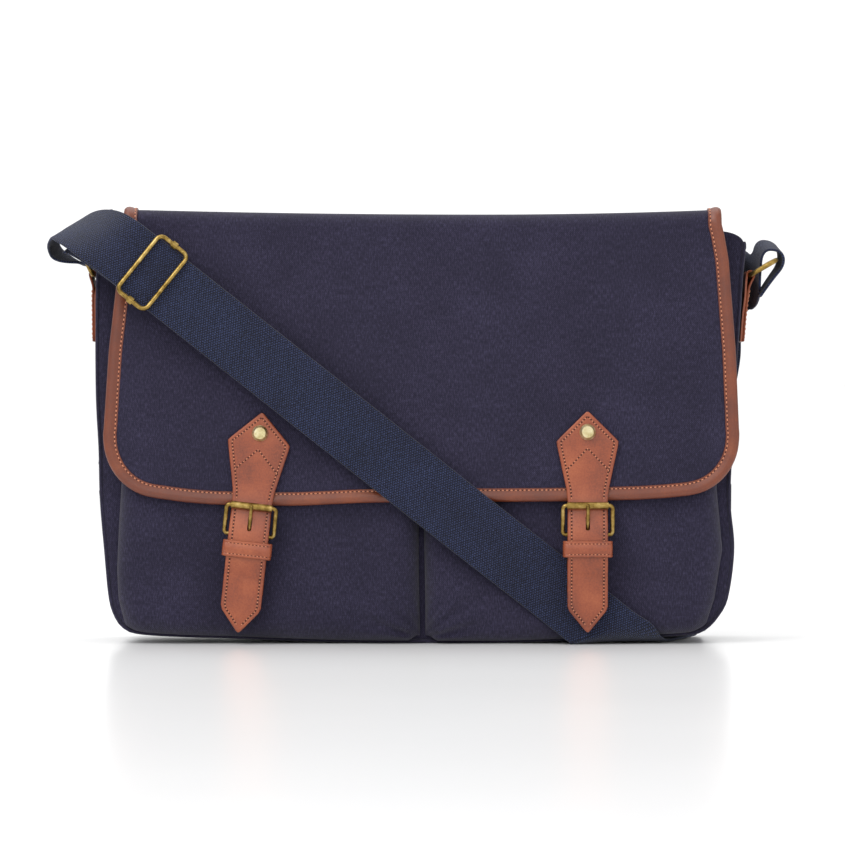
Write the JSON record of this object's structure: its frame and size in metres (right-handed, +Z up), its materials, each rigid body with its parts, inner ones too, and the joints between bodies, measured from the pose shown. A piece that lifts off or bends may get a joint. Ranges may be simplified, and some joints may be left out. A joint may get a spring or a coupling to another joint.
{
  "type": "messenger bag",
  "caption": "Wide canvas messenger bag with a leather-bound flap, two buckled leather closures over front pockets and a webbing shoulder strap with a metal adjuster.",
  "frame": {"origin": "middle of the flat underside, on the surface that the bag stands on", "axes": "+X to the right seen from the front, the front faces -Y, +Z up"},
  "size_m": [0.4635, 0.1372, 0.2731],
  "materials": {
    "canvas": "matte",
    "canvas_lining": "matte",
    "webbing": "matte",
    "leather": "satin",
    "brass": "satin",
    "snap_metal": "satin"
  },
  "bodies": {
    "bag": {"back_panel": "canvas", "front_panel": "canvas", "gusset_left": "canvas", "gusset_right": "canvas", "base_panel": "canvas", "lining": "canvas_lining", "pocket_left": "canvas", "pocket_right": "canvas", "ring_tab_left": "leather", "ring_tab_right": "leather", "snap_socket_left": "snap_metal", "snap_socket_right": "snap_metal", "shoulder_strap": "webbing", "strap_return": "webbing"},
    "flap_top": {"flap_top_panel": "canvas", "binding_top": "leather"},
    "flap_front": {"flap_front_panel": "canvas", "binding_front": "leather", "closure_strap_left": "leather", "rivet_left": "brass", "buckle_frame_left": "brass", "under_tab_left": "leather", "keeper_left": "leather", "snap_stud_left": "snap_metal", "closure_strap_right": "leather", "rivet_right": "brass", "buckle_frame_right": "brass", "under_tab_right": "leather", "keeper_right": "leather", "snap_stud_right": "snap_metal"},
    "roller_left": {"buckle_roller_left": "brass"},
    "roller_right": {"buckle_roller_right": "brass"},
    "prong_left": {"buckle_prong_left": "brass"},
    "prong_right": {"buckle_prong_right": "brass"},
    "ring_left": {"strap_ring_left": "brass"},
    "ring_right": {"strap_ring_right": "brass"},
    "slider": {"slider_frame": "brass", "slider_bar": "brass"}
  },
  "joints": [
    {"name": "flap_lift", "type": "hinge", "parent": "bag", "child": "flap_top", "pos_m": [0, 0.049, 0.265], "axis": [-1, 0, 0], "range_deg": [0, 180], "deforming": ["shoulder_strap", "strap_return", "slider_frame", "slider_bar"]},
    {"name": "flap_fold", "type": "hinge", "parent": "flap_top", "child": "flap_front", "pos_m": [0, -0.053, 0.265], "axis": [-1, 0, 0], "range_deg": [0, 90], "deforming": ["shoulder_strap", "strap_return", "slider_frame", "slider_bar"]},
    {"name": "roller_left_spin", "type": "hinge", "parent": "flap_front", "child": "roller_left", "pos_m": [-0.1054, -0.0607, 0.086], "axis": [0.994, 0, -0.1097], "continuous": true},
    {"name": "prong_left_lift", "type": "hinge", "parent": "flap_front", "child": "prong_left", "pos_m": [-0.10738, -0.0566, 0.06811], "axis": [0.994, 0, -0.1097], "range_deg": [0, 20]},
    {"name": "roller_right_spin", "type": "hinge", "parent": "flap_front", "child": "roller_right", "pos_m": [0.1026, -0.0607, 0.0865], "axis": [1, 0, 0], "continuous": true},
    {"name": "prong_right_lift", "type": "hinge", "parent": "flap_front", "child": "prong_right", "pos_m": [0.1026, -0.0566, 0.0685], "axis": [1, 0, 0], "range_deg": [0, 20]},
    {"name": "ring_left_swing", "type": "hinge", "parent": "bag", "child": "ring_left", "pos_m": [-0.207, 0, 0.231], "axis": [0, -1, 0], "range_deg": [-10, 100], "deforming": ["shoulder_strap", "strap_return"]},
    {"name": "ring_right_swing", "type": "hinge", "parent": "bag", "child": "ring_right", "pos_m": [0.207, 0, 0.231], "axis": [0, 1, 0], "range_deg": [-50, 60], "deforming": ["shoulder_strap", "strap_return"]},
    {"name": "slider_slide", "type": "slide", "parent": "bag", "child": "slider", "axis": [0.7848, 0, -0.6198], "range_m": [-0.006, 0.08], "deforming": ["shoulder_strap", "strap_return"]}
  ]
}
